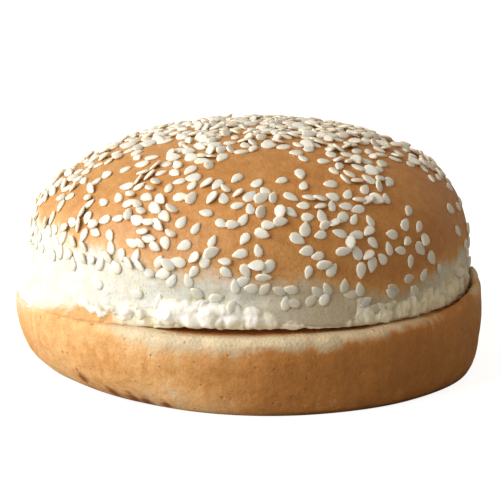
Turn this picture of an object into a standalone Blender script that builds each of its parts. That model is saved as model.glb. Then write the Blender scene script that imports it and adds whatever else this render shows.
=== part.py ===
"""A sesame burger bun, sliced level. The domed crown, with seeds baked onto it, rests on the heel.

Metres, +Z up. The bun stands on the flat of its heel at z = 0, on the Z axis. Its front is -Y.
"""

import math
import random

import bmesh
import bpy
from mathutils import Matrix, Vector, noise
from mathutils.bvhtree import BVHTree

MM = 0.001

# Driving sizes
HEEL_RADIUS = 52.2 * MM
CROWN_RADIUS = 48.9 * MM
BUN_HEIGHT = 54.6 * MM
CUT_HEIGHT = 17.7 * MM
WAIST_HEIGHT = 28.0 * MM
SLICE_GAP = 0.3 * MM
CROWN_UNDERSIDE = CUT_HEIGHT + SLICE_GAP
DOME_RISE = BUN_HEIGHT - WAIST_HEIGHT

# Directions round the bun, in degrees from +X
LEFT = 180
FRONT_LEFT = -151

# Crown: the dome is a superellipse, fuller at the right than at the left
TURNED_FULLNESS = 2.15
LEFT_FULLNESS = 2.04
RIGHT_FULLNESS = 2.33
WAIST_TUCK = 0.7 * MM
CROWN_SHIFT = 0.4 * MM
LEFT_SHOULDER = 1.2 * MM
SHOULDER_HEIGHT = 40.0 * MM
SHOULDER_HALF = 10.0 * MM
SHOULDER_SPREAD = 75
LEFT_FLARE = 2.8 * MM
FLARE_SPREAD = 70
CROWN_CORNER = 1.2 * MM

# The front gap between crown and heel
SLIT_OPENING = 1.3 * MM
SLIT_FROM = -117
SLIT_TO = -62
SLIT_WIDEST = -101
SLIT_START = 0.55

# Heel: a flat foot, a rounded lower edge that is larger at the front left, and a rim with a lip at the right
FOOT_ROUNDING = 3.7 * MM
FRONT_LEFT_ROUNDING = 9.6 * MM
ROUNDING_SPREAD = 79
SIDE_HEIGHT = 14.5 * MM
RIM_ROUNDING = 2.0 * MM
HEEL_LAND = CROWN_RADIUS + 0.6 * MM
LIP_RISE = 1.3 * MM
LIP_MIDDLE = 15
LIP_SPREAD = 60

# Unevenness of the baked dough
CROWN_WAVES = (0.45 * MM, 38.0)
HEEL_WAVES = (0.4 * MM, 52.0)

# Facets
CROWN_STEPS = 44
HEEL_STEPS = 60
DOME_ROWS = 9
BAND_ROWS = 3
FOOT_ROWS = 6
RIM_ROWS = 3

# Sesame seeds: teardrops that lie on the crust, half their thickness sunk
SEED_LENGTH = 3.5 * MM
SEED_WIDTH = 2.25 * MM
SEED_THICKNESS = 1.5 * MM
SEED_SINK = 0.12 * MM
SEED_TAPER = 0.3
SEED_SIDES = 7
SEED_RINGS = 3
SEED_SPACING = 3.7 * MM
SEED_SIZES = (0.86, 1.14)
SEED_DRAW = 11
DOME_SEEDS = 277
LOWEST_SEED = 0.03
SIDE_SHARE = 0.3
LEFT_SHARE = 0.75
BAND_SEEDS = 14
BAND_FROM = -135
BAND_TO = 0
BAND_HEIGHTS = (23.0 * MM, 27.5 * MM)

# Bare patches of crust: direction in degrees, share of the dome's rise, and half width
BARE_PATCHES = (
    (-82, 0.80, 6.5 * MM),
    (-98, 0.82, 4.5 * MM),
    (-32, 0.54, 7.5 * MM),
    (-147, 0.43, 4.0 * MM),
    (-82, 0.27, 3.6 * MM),
    (-35, 0.24, 4.5 * MM),
    (-147, 0.74, 3.4 * MM),
    (-139, 0.85, 3.2 * MM),
)

# Torn crumb along the crown's lower edge: from, to and step in degrees, with each lump's size
CRUMB_RUNS = (
    (-150, -62, 4.4, 2.3 * MM),
    (-40, -8, 5.2, 1.5 * MM),
)
CRUMB_HEIGHT = 20.4 * MM
CRUMB_PROUD = 0.45
CRUMB_DRAW = 5

CRUST_COLOUR = (0.52, 0.24, 0.07, 1)
HEEL_COLOUR = (0.58, 0.32, 0.12, 1)
SEED_COLOUR = (0.86, 0.78, 0.60, 1)


def clear_scene():
    for obj in list(bpy.data.objects):
        bpy.data.objects.remove(obj)


def new_collection(name):
    collection = bpy.data.collections.new(name)
    bpy.context.scene.collection.children.link(collection)
    return collection


def material(name, colour, roughness):
    made = bpy.data.materials.new(name)
    made.use_nodes = True
    shader = made.node_tree.nodes["Principled BSDF"]
    shader.inputs["Base Color"].default_value = colour
    shader.inputs["Roughness"].default_value = roughness
    shader.inputs["Metallic"].default_value = 0
    return made


def ease(share):
    """A share from 0 to 1 with a smooth start and end."""
    share = min(max(share, 0), 1)
    return share * share * (3 - 2 * share)


def bell(azimuth, middle, spread):
    """1 in the middle direction, falling to 0 at the spread on either side."""
    away = abs((azimuth - middle + 180) % 360 - 180)
    return ease(1 - away / spread)


def mix(first, second, share):
    return first + (second - first) * share


def evaluated_mesh(obj):
    bpy.context.view_layer.update()
    graph = bpy.context.evaluated_depsgraph_get()
    return bpy.data.meshes.new_from_object(obj.evaluated_get(graph))


def turned(name, profile, steps, collection):
    """A solid turned about Z from a profile of (radius, height), top to bottom."""
    sketch = bmesh.new()
    points = [sketch.verts.new((radius, 0, height)) for radius, height in profile]
    for upper, lower in zip(points, points[1:]):
        sketch.edges.new((upper, lower))
    mesh = bpy.data.meshes.new(name)
    sketch.to_mesh(mesh)
    sketch.free()
    obj = bpy.data.objects.new(name, mesh)
    collection.objects.link(obj)
    screw = obj.modifiers.new("Turn", "SCREW")
    screw.axis = "Z"
    screw.angle = 2 * math.pi
    screw.steps = steps
    screw.render_steps = steps
    screw.use_merge_vertices = True
    screw.merge_threshold = 0.00001
    obj.data = evaluated_mesh(obj)
    obj.modifiers.clear()
    return obj


def reshape(obj, place):
    for vertex in obj.data.vertices:
        vertex.co = place(vertex.co)


def quarter_turn(rows):
    """Angles that divide a right angle into rows, without its start."""
    return [math.pi / 2 * (row + 1) / rows for row in range(rows)]


def dome_point(angle, fullness):
    """Radius and height on the dome, from the top at angle 0 to the waist at a right angle."""
    radius = CROWN_RADIUS * math.sin(angle) ** (2 / fullness)
    height = WAIST_HEIGHT + DOME_RISE * abs(math.cos(angle)) ** (2 / fullness)
    return radius, height


def crown_profile():
    profile = [(0, BUN_HEIGHT)]
    profile += [dome_point(angle, TURNED_FULLNESS) for angle in quarter_turn(DOME_ROWS)]
    corner_top = CROWN_UNDERSIDE + CROWN_CORNER
    for row in range(1, BAND_ROWS + 1):
        profile.append((CROWN_RADIUS, mix(WAIST_HEIGHT, corner_top, row / BAND_ROWS)))
    for inset in (CROWN_CORNER, CROWN_RADIUS * 0.25, CROWN_RADIUS * 0.55):
        profile.append((CROWN_RADIUS - inset, CROWN_UNDERSIDE))
    profile.append((0, CROWN_UNDERSIDE))
    return profile


def heel_profile():
    rim_base = CUT_HEIGHT - RIM_ROUNDING
    rim_inside = HEEL_RADIUS - RIM_ROUNDING
    profile = [(0, CUT_HEIGHT), (HEEL_LAND, CUT_HEIGHT), (rim_inside, CUT_HEIGHT)]
    for angle in quarter_turn(RIM_ROWS):
        radius = HEEL_RADIUS - RIM_ROUNDING * (1 - math.sin(angle))
        profile.append((radius, rim_base + RIM_ROUNDING * math.cos(angle)))
    for angle in quarter_turn(FOOT_ROWS):
        radius = HEEL_RADIUS - FOOT_ROUNDING * (1 - math.cos(angle))
        profile.append((radius, SIDE_HEIGHT * (1 - math.sin(angle))))
    profile.append((0, 0))
    return profile


def waves(point, reach):
    """Slow swells of baked dough at a point, up to the reach either way."""
    height, frequency = reach
    return height * noise.noise(point * frequency)


def slit(azimuth):
    """How far the front gap is open in a direction, as a share."""
    opening = ease((azimuth - SLIT_FROM) / (SLIT_WIDEST - SLIT_FROM))
    closing = ease((SLIT_TO - azimuth) / (SLIT_TO - SLIT_WIDEST))
    return opening * closing


def crown_place(point):
    """Where a point of the evenly turned crown lies on the uneven, baked one."""
    radius = math.hypot(point.x, point.y)
    height = point.z
    azimuth = math.degrees(math.atan2(point.y, point.x))
    new_radius, new_height = radius, height
    if height > WAIST_HEIGHT:
        across = (radius / CROWN_RADIUS) ** (TURNED_FULLNESS / 2)
        upward = ((height - WAIST_HEIGHT) / DOME_RISE) ** (TURNED_FULLNESS / 2)
        rightward = 0.5 + 0.5 * math.cos(math.radians(azimuth))
        fullness = mix(LEFT_FULLNESS, RIGHT_FULLNESS, rightward)
        new_radius, new_height = dome_point(math.atan2(across, upward), fullness)
    else:
        drop = (WAIST_HEIGHT - height) / (WAIST_HEIGHT - CROWN_UNDERSIDE)
        left = bell(azimuth, LEFT, FLARE_SPREAD)
        flare = LEFT_FLARE * left * ease(drop)
        tuck = WAIST_TUCK * (1 - left) * bell(azimuth, LEFT, 150) * drop * drop
        new_radius = radius * (1 + (flare - tuck) / CROWN_RADIUS)
        edge = ease((radius / CROWN_RADIUS - SLIT_START) / (1 - SLIT_START))
        new_height = height + SLIT_OPENING * slit(azimuth) * edge * ease(drop)
    shoulder = ease(1 - abs(height - SHOULDER_HEIGHT) / SHOULDER_HALF) * bell(azimuth, LEFT, SHOULDER_SPREAD)
    swell = waves(point, CROWN_WAVES) * min(radius / CROWN_RADIUS, 1) + LEFT_SHOULDER * shoulder
    scale = (new_radius + swell) / radius if radius > MM else 1
    return Vector((point.x * scale + CROWN_SHIFT, point.y * scale, new_height))


def heel_place(point):
    """Where a point of the evenly turned heel lies on the uneven, baked one."""
    radius = math.hypot(point.x, point.y)
    azimuth = math.degrees(math.atan2(point.y, point.x))
    foot_radius = HEEL_RADIUS - FOOT_ROUNDING
    rounding = FOOT_ROUNDING + FRONT_LEFT_ROUNDING * bell(azimuth, FRONT_LEFT, ROUNDING_SPREAD)
    new_radius, new_height = radius, point.z
    if point.z < SIDE_HEIGHT:
        if radius > foot_radius:
            new_radius = HEEL_RADIUS - rounding * (HEEL_RADIUS - radius) / FOOT_ROUNDING
        else:
            new_radius = radius * (HEEL_RADIUS - rounding) / foot_radius
    elif radius > HEEL_LAND + MM / 10:
        rise = ease((point.z - SIDE_HEIGHT) / (CUT_HEIGHT - SIDE_HEIGHT))
        new_height = point.z + LIP_RISE * rise * bell(azimuth, LIP_MIDDLE, LIP_SPREAD)
    swell = waves(point, HEEL_WAVES) * min(radius / HEEL_RADIUS, 1)
    scale = (new_radius + swell) / radius if radius > MM else 1
    return Vector((point.x * scale, point.y * scale, new_height))


def heading(azimuth, rise):
    """The direction on a unit ball at an azimuth in degrees and a height of its centre."""
    level = math.sqrt(1 - rise * rise)
    turn = math.radians(azimuth)
    return Vector((level * math.cos(turn), level * math.sin(turn), rise))


def even_dome(azimuth, rise):
    """The same direction's point on a smooth half ellipsoid with the dome's width and rise."""
    spot = heading(azimuth, rise)
    return Vector((spot.x * CROWN_RADIUS, spot.y * CROWN_RADIUS, spot.z * DOME_RISE))


def seed_share(azimuth, rise):
    """The share of falling seeds that stick: all at the top, more at the left than elsewhere."""
    side = mix(SIDE_SHARE, LEFT_SHARE, bell(azimuth, LEFT, 100))
    return mix(side, 1, rise)


def in_bare_patch(spot):
    return any((spot - even_dome(azimuth, rise)).length < size for azimuth, rise, size in BARE_PATCHES)


def seed_draws(count, spacing):
    """Azimuth, rise, turn and size of each dome seed, drawn one by one and kept clear of those before."""
    draw = random.Random(SEED_DRAW)
    kept = []
    spots = []
    while len(kept) < count:
        azimuth = draw.uniform(-180, 180)
        rise = draw.uniform(LOWEST_SEED, 1)
        turn = draw.uniform(0, 2 * math.pi)
        size = draw.uniform(*SEED_SIZES)
        sticks = draw.random() < seed_share(azimuth, rise)
        spot = even_dome(azimuth, rise)
        clear = all((spot - other).length > spacing for other in spots)
        if sticks and clear and not in_bare_patch(spot):
            kept.append((azimuth, rise, turn, size))
            spots.append(spot)
    return kept


def seat(spot, outward, turn, size, sink):
    """The matrix that lays a piece made round the origin on a surface, turned about its outward direction."""
    lie = outward.to_track_quat("Z", "Y").to_matrix().to_4x4()
    return Matrix.Translation(spot - outward * sink) @ lie @ Matrix.Rotation(turn, 4, "Z") @ Matrix.Scale(size, 4)


def seed_mesh():
    """A flat teardrop with its poles above and below."""
    shape = bmesh.new()
    bmesh.ops.create_uvsphere(shape, u_segments=SEED_SIDES, v_segments=SEED_RINGS, radius=0.5)
    for vertex in shape.verts:
        narrowing = 1 - SEED_TAPER * 2 * vertex.co.x
        vertex.co.x *= SEED_LENGTH
        vertex.co.y *= SEED_WIDTH * narrowing
        vertex.co.z *= SEED_THICKNESS
    mesh = bpy.data.meshes.new("seed")
    shape.to_mesh(mesh)
    shape.free()
    return mesh


def crumb_mesh():
    shape = bmesh.new()
    bmesh.ops.create_icosphere(shape, subdivisions=1, radius=1)
    mesh = bpy.data.meshes.new("crumb_lump")
    shape.to_mesh(mesh)
    shape.free()
    return mesh


def add_copy(mesh, place, collection):
    obj = bpy.data.objects.new(mesh.name, mesh)
    obj.matrix_world = place
    collection.objects.link(obj)


def skin_of(obj):
    """A tree of the object's faces, for finding where a line meets them."""
    shape = bmesh.new()
    shape.from_mesh(obj.data)
    tree = BVHTree.FromBMesh(shape)
    shape.free()
    return tree


def scatter_seeds(skin, collection, look):
    mesh = seed_mesh()
    mesh.materials.append(look)
    core = Vector((0, 0, WAIST_HEIGHT))
    for azimuth, rise, turn, size in seed_draws(DOME_SEEDS, SEED_SPACING):
        spot, outward, _, _ = skin.ray_cast(core, even_dome(azimuth, rise))
        add_copy(mesh, seat(spot, outward, turn, size, SEED_SINK), collection)
    draw = random.Random(SEED_DRAW)
    for seed in range(BAND_SEEDS):
        azimuth = mix(BAND_FROM, BAND_TO, (seed + draw.uniform(0.2, 0.8)) / BAND_SEEDS)
        height = draw.uniform(*BAND_HEIGHTS)
        spot, outward, _, _ = skin.ray_cast(Vector((0, 0, height)), heading(azimuth, 0))
        place = seat(spot, outward, draw.uniform(0, math.pi), 1, SEED_SINK)
        add_copy(mesh, place, collection)


def scatter_crumb(skin, collection, look):
    """Lumps of torn crumb along the crown's lower edge, each set a little proud of it."""
    mesh = crumb_mesh()
    mesh.materials.append(look)
    draw = random.Random(CRUMB_DRAW)
    for start, end, step, size in CRUMB_RUNS:
        for lump in range(int((end - start) / step)):
            azimuth = start + step * (lump + draw.uniform(0.3, 0.7))
            height = CRUMB_HEIGHT + size * draw.uniform(-0.1, 0.3) + SLIT_OPENING * slit(azimuth)
            spot, outward, _, _ = skin.ray_cast(Vector((0, 0, height)), heading(azimuth, 0))
            reach = size * draw.uniform(0.75, 1)
            sides = Matrix.Diagonal((reach, reach * draw.uniform(0.7, 0.95), reach * 0.8, 1))
            sink = reach * (0.8 - CRUMB_PROUD)
            add_copy(mesh, seat(spot, outward, draw.uniform(0, math.pi), 1, sink) @ sides, collection)


def keep_largest_body(mesh):
    """Drops the loose scraps and fills the sealed hollows that joining leaves."""
    shape = bmesh.new()
    shape.from_mesh(mesh)
    unseen = set(shape.verts)
    bodies = []
    while unseen:
        body = set()
        edge_of_body = [unseen.pop()]
        while edge_of_body:
            vertex = edge_of_body.pop()
            body.add(vertex)
            near = {edge.other_vert(vertex) for edge in vertex.link_edges} & unseen
            unseen -= near
            edge_of_body.extend(near)
        bodies.append(body)
    bodies.sort(key=len)
    for body in bodies[:-1]:
        bmesh.ops.delete(shape, geom=list(body), context="VERTS")
    shape.to_mesh(mesh)
    shape.free()


def fuse(obj, toppings):
    """Joins the toppings to the object in one union, then removes them."""
    join = obj.modifiers.new("Join", "BOOLEAN")
    join.operation = "UNION"
    join.operand_type = "COLLECTION"
    join.collection = toppings
    join.solver = "EXACT"
    joined = evaluated_mesh(obj)
    obj.modifiers.clear()
    obj.data = joined
    keep_largest_body(joined)
    for topping in list(toppings.objects):
        bpy.data.objects.remove(topping)
    bpy.data.collections.remove(toppings)


def make_crown(collection):
    crust = material("crust", CRUST_COLOUR, 0.45)
    seed = material("sesame", SEED_COLOUR, 0.5)
    crown = turned("crown", crown_profile(), CROWN_STEPS, collection)
    crown.data.materials.append(crust)
    reshape(crown, crown_place)
    skin = skin_of(crown)
    toppings = new_collection("toppings")
    scatter_seeds(skin, toppings, seed)
    scatter_crumb(skin, toppings, seed)
    fuse(crown, toppings)
    return crown


def make_heel(collection):
    heel = turned("heel", heel_profile(), HEEL_STEPS, collection)
    heel.data.materials.append(material("heel_crust", HEEL_COLOUR, 0.6))
    reshape(heel, heel_place)
    return heel


def main():
    clear_scene()
    bun = new_collection("sesame_burger_bun")
    for piece in (make_crown(bun), make_heel(bun)):
        piece.data.shade_smooth()
        piece.data.set_sharp_from_angle(angle=math.radians(35))


main()
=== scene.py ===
"""Looks of a sliced sesame burger bun: its baked dome, sesame seeds, torn pale crumb and browned heel.

Metres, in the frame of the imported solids. The front of the bun is -Y.
"""

import math
import random

import bmesh
import bpy
import numpy as np
from mathutils import Matrix, Vector, noise
from mathutils.bvhtree import BVHTree


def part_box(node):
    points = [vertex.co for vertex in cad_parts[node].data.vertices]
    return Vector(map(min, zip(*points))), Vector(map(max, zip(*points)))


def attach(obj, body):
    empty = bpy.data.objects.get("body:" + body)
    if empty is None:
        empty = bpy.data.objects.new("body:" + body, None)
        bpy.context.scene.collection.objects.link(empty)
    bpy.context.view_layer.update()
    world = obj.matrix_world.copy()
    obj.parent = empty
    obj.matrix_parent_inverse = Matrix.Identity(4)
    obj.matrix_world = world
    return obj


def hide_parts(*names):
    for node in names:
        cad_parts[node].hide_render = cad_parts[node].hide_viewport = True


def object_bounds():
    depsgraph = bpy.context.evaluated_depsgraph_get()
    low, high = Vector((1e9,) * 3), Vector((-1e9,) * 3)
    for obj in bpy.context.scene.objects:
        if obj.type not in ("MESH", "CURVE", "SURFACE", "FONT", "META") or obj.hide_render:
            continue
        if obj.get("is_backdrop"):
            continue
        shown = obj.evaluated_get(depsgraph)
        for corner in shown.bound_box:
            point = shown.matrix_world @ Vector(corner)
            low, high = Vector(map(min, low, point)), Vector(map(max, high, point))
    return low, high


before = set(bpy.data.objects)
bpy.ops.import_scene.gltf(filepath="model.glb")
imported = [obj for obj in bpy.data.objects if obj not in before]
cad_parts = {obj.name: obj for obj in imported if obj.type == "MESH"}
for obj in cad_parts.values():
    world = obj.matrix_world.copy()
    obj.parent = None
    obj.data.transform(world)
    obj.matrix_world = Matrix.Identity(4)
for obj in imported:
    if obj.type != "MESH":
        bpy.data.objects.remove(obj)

MM = 0.001
SOLIDS_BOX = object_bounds()

# Driving sizes, as in the solids
HEEL_RADIUS = 52.2 * MM
CROWN_RADIUS = 48.9 * MM
BUN_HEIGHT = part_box("crown")[1][2] - 0.72 * MM
CUT_HEIGHT = 17.7 * MM
WAIST_HEIGHT = 28.0 * MM
CROWN_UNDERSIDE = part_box("crown")[0][2]
DOME_RISE = BUN_HEIGHT - WAIST_HEIGHT

# Directions round the bun, in degrees from +X
FRONT = -90
LEFT = 180
FRONT_LEFT = -151
BACK = 90

# Crown. A side is a middle direction, a spread and sometimes how full the bell between them is.
# A swell is a height and how often it comes
TURNED_FULLNESS = 2.15
LEFT_FULLNESS = 2.04
RIGHT_FULLNESS = 2.33
WAIST_TUCK = 0.7 * MM
RIGHT_TUCK = 0.35 * MM
RIGHT_TUCK_SIDE = (0, 55, 1.5)
TUCK_FADE = 8.0 * MM
WAIST_TUCK_SIDE = (LEFT, 150)
CROWN_SHIFT = 0.4 * MM
LEFT_SHOULDER = 1.2 * MM
SHOULDER_HEIGHT = 40.0 * MM
SHOULDER_HALF = 10.0 * MM
SHOULDER_SPREAD = 75
LEFT_FLARE = 2.8 * MM
FLARE_SPREAD = 70
CROWN_CORNER = 1.2 * MM
CROWN_WAVES = (0.45 * MM, 38.0)

# The front gap between crown and heel
SLIT_OPENING = 0.55 * MM
SLIT_FROM = -112
SLIT_TO = -62
SLIT_WIDEST = -101
SLIT_START = 0.55
SLIT_QUICKNESS = 1.5

# Heel
FOOT_ROUNDING = 3.7 * MM
FRONT_LEFT_ROUNDING = 9.6 * MM
ROUNDING_SPREAD = 79
SIDE_HEIGHT = 14.5 * MM
RIM_ROUNDING = 2.0 * MM
HEEL_LAND = CROWN_RADIUS + 0.6 * MM
LIP_RISE = 1.3 * MM
LIP_MIDDLE = 15
LIP_SPREAD = 60
HEEL_WAVES = (0.4 * MM, 52.0)

# Facets
CROWN_STEPS = 720
DOME_ROWS = 56
BAND_ROWS = 50
CORNER_ROWS = 6
HEEL_STEPS = 720
FOOT_ROWS = 60
RIM_ROWS = 10
CUT_ROWS = 10
LAND_ROWS = 3
WEDGE_DOUBLINGS = 4

# Sesame seeds
SEED_LENGTH = 3.3 * MM
SEED_WIDTH = 2.1 * MM
SEED_THICKNESS = 0.76 * MM
SEED_SINK = 0.28
SEED_TAPER = 0.24
SEED_TIP = 0.34
SEED_DISH = 0.2
SEED_SIDES = 10
SEED_RINGS = 6
SEED_SPACING = 3.7 * MM
SEED_SIZES = (0.86, 1.14)
SEED_DRAW = 34
SPACED_SEEDS = 277
CROWDED_SEEDS = 700
CROWDED_SPACING = 2.05 * MM
TOP_SPACING = 1.65 * MM
CROWD_SHARE = 0.3
CROWD_RIGHT_SHARE = 0.05
CROWDED_TOP = 0.78
SEED_LEAN_REACH = 2.5 * MM
CROWDED_LIFT = 0.35 * MM
LOOSE_SHARE = 0.1
LOOSE_LIFT = 0.2 * MM
LOWEST_SEED = 0.03
SIDE_SHARE = 0.3
LEFT_SHARE = 0.75
BAND_SEEDS = 14
BAND_FROM = -135
BAND_TO = 0
BAND_HEIGHTS = (23.0 * MM, 27.5 * MM)
VEILED_SEEDS = 26
VEILED_FROM = -112
VEILED_TO = -42
VEILED_HEIGHTS = (20.5 * MM, 28.5 * MM)
VEILED_SINK = (0.32, 0.52)

# Bare patches of crust: direction in degrees, share of the dome's rise, and half width in millimetres
BARE_PATCHES = (
    (-82, 0.80, 6.5),
    (-32, 0.54, 7.5),
    (-147, 0.43, 4.0),
    (-82, 0.27, 3.6),
    (-35, 0.24, 4.5),
    (-147, 0.74, 3.4),
    (-138, 0.86, 4.4),
    (-139, 0.60, 3.8),
    (-98, 0.77, 3.6),
    (-162, 0.35, 4.5),
    (-123, 0.34, 2.6),
    (-107, 0.51, 2.6),
    (-52, 0.42, 3.4),
    (-80, 0.10, 2.6),
    (4, 0.32, 8.5),
)

# Where later seeds crowd or are few: the same, and the share of seeds that sticks
CROWD_PATCHES = (
    (-115, 0.90, 8, 1.0),
    (-57, 0.34, 5, 0.9),
    (-74, 0.39, 5, 0.9),
    (-125, 0.68, 10, 1.0),
    (-118, 0.39, 10, 0.9),
    (-148, 0.82, 7, 1.0),
    (-134, 0.94, 7, 1.0),
    (-22, 0.84, 9, 1.0),
    (-22, 0.53, 5, 0.6),
    (-67, 0.51, 6, 0.9),
    (-78, 0.37, 6, 0.9),
    (-90, 0.25, 5, 1.0),
    (-85, 0.12, 6, 1.0),
    (-54, 0.61, 9, 1.0),
    (-19, 0.66, 10, 0.9),
    (-60, 0.35, 8, 1.0),
    (-49, 0.80, 9, 0.9),
    (-90, 0.59, 8, 0.6),
    (-67, 0.75, 8, 0.05),
    (-104, 0.28, 6, 0.2),
    (-45, 0.49, 6, 0.1),
    (-24, 0.33, 17, 0.0),
)

# Camera and lights
CAMERA_DISTANCE = 500 * MM
CAMERA_ELEVATION = 10.5
CAMERA_AIM = Vector((0.22 * MM, 0, 25.8 * MM))
CAMERA_LENS = 160.6
CAMERA_SENSOR = 36
FLOOR_SIZE = 6.0
AMBIENT_COLOUR = (1.0, 0.86, 0.68, 1)
AMBIENT_STRENGTH = 0.45
WINDOW_AZIMUTH = -160
WINDOW_ELEVATION = 20
WINDOW_DISTANCE = 0.9
WINDOW_SIZE = 1.1
WINDOW_POWER = 19


def ease(share):
    """A share from 0 to 1 with a smooth start and end."""
    share = min(max(share, 0), 1)
    return share * share * (3 - 2 * share)


def bell(azimuth, middle, spread, fullness=1):
    """1 in the middle direction, falling to 0 at the spread on either side, later with more fullness."""
    away = abs((azimuth - middle + 180) % 360 - 180)
    return ease(fullness * (1 - away / spread))


def mix(first, second, share):
    return first + (second - first) * share


def azimuth_of(point):
    return math.degrees(math.atan2(point.y, point.x))


def quarter_turn(rows):
    """Angles that divide a right angle into rows, without its start."""
    return [math.pi / 2 * (row + 1) / rows for row in range(rows)]


def evenly(first, last, count):
    """Numbers from first to last in equal steps, without the first."""
    return [mix(first, last, (step + 1) / count) for step in range(count)]


# Shapes of the two halves, as in the solids

def dome_point(angle, fullness):
    """Radius and height on the dome, from the top at angle 0 to the waist at a right angle."""
    radius = CROWN_RADIUS * math.sin(angle) ** (2 / fullness)
    height = WAIST_HEIGHT + DOME_RISE * abs(math.cos(angle)) ** (2 / fullness)
    return radius, height


def waves(point, *swells):
    """Uneven swells at a point, each of them a height and how often it comes, added up."""
    return sum(height * noise.noise(point * often) for height, often in swells)


def level_noise(point, often, layer):
    """Noise that is the same at every height of a spot. The layer picks its pattern."""
    return noise.noise(Vector((point.x * often, point.y * often, layer)))


def slit(azimuth):
    """How far the front gap is open in a direction, as a share."""
    opening = ease(SLIT_QUICKNESS * (azimuth - SLIT_FROM) / (SLIT_WIDEST - SLIT_FROM))
    closing = ease(SLIT_QUICKNESS * (SLIT_TO - azimuth) / (SLIT_TO - SLIT_WIDEST))
    return opening * closing


def crown_place(point):
    """Where a point of the evenly turned crown lies on the uneven, baked one."""
    radius = math.hypot(point.x, point.y)
    height = point.z
    azimuth = azimuth_of(point)
    new_radius, new_height = radius, height
    if height > WAIST_HEIGHT:
        across = (radius / CROWN_RADIUS) ** (TURNED_FULLNESS / 2)
        upward = ((height - WAIST_HEIGHT) / DOME_RISE) ** (TURNED_FULLNESS / 2)
        rightward = 0.5 + 0.5 * math.cos(math.radians(azimuth))
        fullness = mix(LEFT_FULLNESS, RIGHT_FULLNESS, rightward)
        new_radius, new_height = dome_point(math.atan2(across, upward), fullness)
    else:
        drop = (WAIST_HEIGHT - height) / (WAIST_HEIGHT - CROWN_UNDERSIDE)
        left = bell(azimuth, LEFT, FLARE_SPREAD)
        flare = LEFT_FLARE * left * ease(drop)
        tuck = WAIST_TUCK * (1 - left) * bell(azimuth, *WAIST_TUCK_SIDE) * drop * drop
        new_radius = radius * (1 + (flare - tuck) / CROWN_RADIUS)
        edge = ease((radius / CROWN_RADIUS - SLIT_START) / (1 - SLIT_START))
        new_height = height + SLIT_OPENING * slit(azimuth) * edge * ease(drop)
    shoulder = ease(1 - abs(height - SHOULDER_HEIGHT) / SHOULDER_HALF) * bell(azimuth, LEFT, SHOULDER_SPREAD)
    swell = waves(point, CROWN_WAVES) * min(radius / CROWN_RADIUS, 1) + LEFT_SHOULDER * shoulder
    low = ease((WAIST_HEIGHT + DOME_RISE / 2 - height) / TUCK_FADE)
    swell -= RIGHT_TUCK * bell(azimuth, *RIGHT_TUCK_SIDE) * low
    scale = (new_radius + swell) / radius if radius > MM else 1
    return Vector((point.x * scale + CROWN_SHIFT, point.y * scale, new_height))


def heel_place(point):
    """Where a point of the evenly turned heel lies on the uneven, baked one."""
    radius = math.hypot(point.x, point.y)
    azimuth = azimuth_of(point)
    foot_radius = HEEL_RADIUS - FOOT_ROUNDING
    rounding = FOOT_ROUNDING + FRONT_LEFT_ROUNDING * bell(azimuth, FRONT_LEFT, ROUNDING_SPREAD)
    new_radius, new_height = radius, point.z
    if point.z < SIDE_HEIGHT:
        if radius > foot_radius:
            new_radius = HEEL_RADIUS - rounding * (HEEL_RADIUS - radius) / FOOT_ROUNDING
        else:
            new_radius = radius * (HEEL_RADIUS - rounding) / foot_radius
    elif radius > HEEL_LAND + MM / 10:
        rise = ease((point.z - SIDE_HEIGHT) / (CUT_HEIGHT - SIDE_HEIGHT))
        new_height = point.z + LIP_RISE * rise * bell(azimuth, LIP_MIDDLE, LIP_SPREAD)
    swell = waves(point, HEEL_WAVES) * min(radius / HEEL_RADIUS, 1)
    scale = (new_radius + swell) / radius if radius > MM else 1
    return Vector((point.x * scale, point.y * scale, new_height))


def crown_profile():
    profile = [(0, BUN_HEIGHT)]
    profile += [dome_point(angle, TURNED_FULLNESS) for angle in quarter_turn(DOME_ROWS)]
    corner_top = CROWN_UNDERSIDE + CROWN_CORNER
    profile += [(CROWN_RADIUS, height) for height in evenly(WAIST_HEIGHT, corner_top, BAND_ROWS)]
    for angle in quarter_turn(CORNER_ROWS):
        radius = CROWN_RADIUS - CROWN_CORNER * (1 - math.cos(angle))
        profile.append((radius, corner_top - CROWN_CORNER * math.sin(angle)))
    inner = CROWN_RADIUS - CROWN_CORNER
    profile += [(radius, CROWN_UNDERSIDE) for radius in evenly(inner, CROWN_RADIUS / 2, CUT_ROWS)]
    profile.append((0, CROWN_UNDERSIDE))
    return profile


def heel_profile():
    rim_base = CUT_HEIGHT - RIM_ROUNDING
    rim_inside = HEEL_RADIUS - RIM_ROUNDING
    profile = [(0, CUT_HEIGHT)]
    profile += [(radius, CUT_HEIGHT) for radius in evenly(HEEL_RADIUS / 2, HEEL_LAND, CUT_ROWS)]
    profile += [(radius, CUT_HEIGHT) for radius in evenly(HEEL_LAND, rim_inside, LAND_ROWS)]
    for angle in quarter_turn(RIM_ROWS):
        radius = HEEL_RADIUS - RIM_ROUNDING * (1 - math.sin(angle))
        profile.append((radius, rim_base + RIM_ROUNDING * math.cos(angle)))
    for angle in quarter_turn(FOOT_ROWS):
        radius = HEEL_RADIUS - FOOT_ROUNDING * (1 - math.cos(angle))
        profile.append((radius, SIDE_HEIGHT * (1 - math.sin(angle))))
    profile.append((0, 0))
    return profile


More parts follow.
